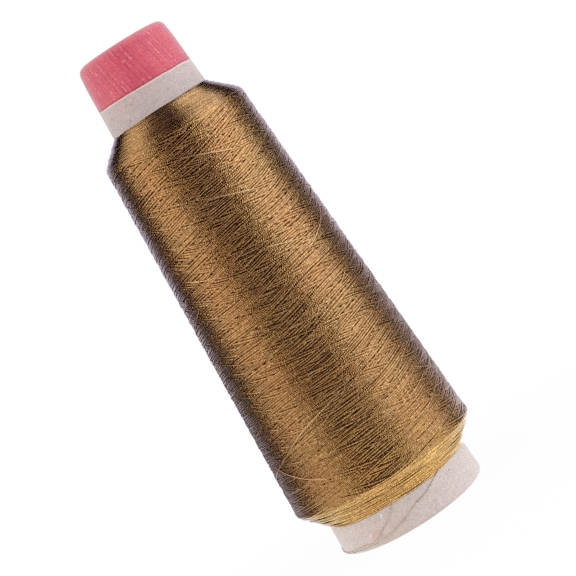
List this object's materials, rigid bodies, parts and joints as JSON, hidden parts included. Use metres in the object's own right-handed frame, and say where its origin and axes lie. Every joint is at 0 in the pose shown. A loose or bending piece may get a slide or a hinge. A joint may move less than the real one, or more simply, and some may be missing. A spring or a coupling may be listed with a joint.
{
  "type": "cone of thread",
  "caption": "Tapered paper cone with a dyed nose, cross-wound with metallic sewing thread, standing on its base ring.",
  "frame": {"origin": "centre of the ring that the cone stands on", "axes": "+Z along the cone's axis from base to nose; the pictured front faces -Y, so the two thread tails leave the winding on the -Y side"},
  "size_m": [0.0626, 0.0626, 0.17],
  "materials": {
    "paper_inner": "matte",
    "paper_core": "matte",
    "paper_outer": "matte",
    "paper_dyed": "matte",
    "thread_first": "satin",
    "thread_middle": "satin",
    "thread_outer": "satin",
    "thread_tail": "satin"
  },
  "bodies": {
    "root": {"cone_inner_ply": "paper_inner", "cone_middle_plies": "paper_core", "cone_outer_ply": "paper_outer", "nose_dyed_layer": "paper_dyed", "thread_first_layers": "thread_first", "thread_middle_layers": "thread_middle", "thread_outer_layers": "thread_outer", "transfer_tail": "thread_tail", "finish_tail": "thread_tail"}
  },
  "joints": []
}
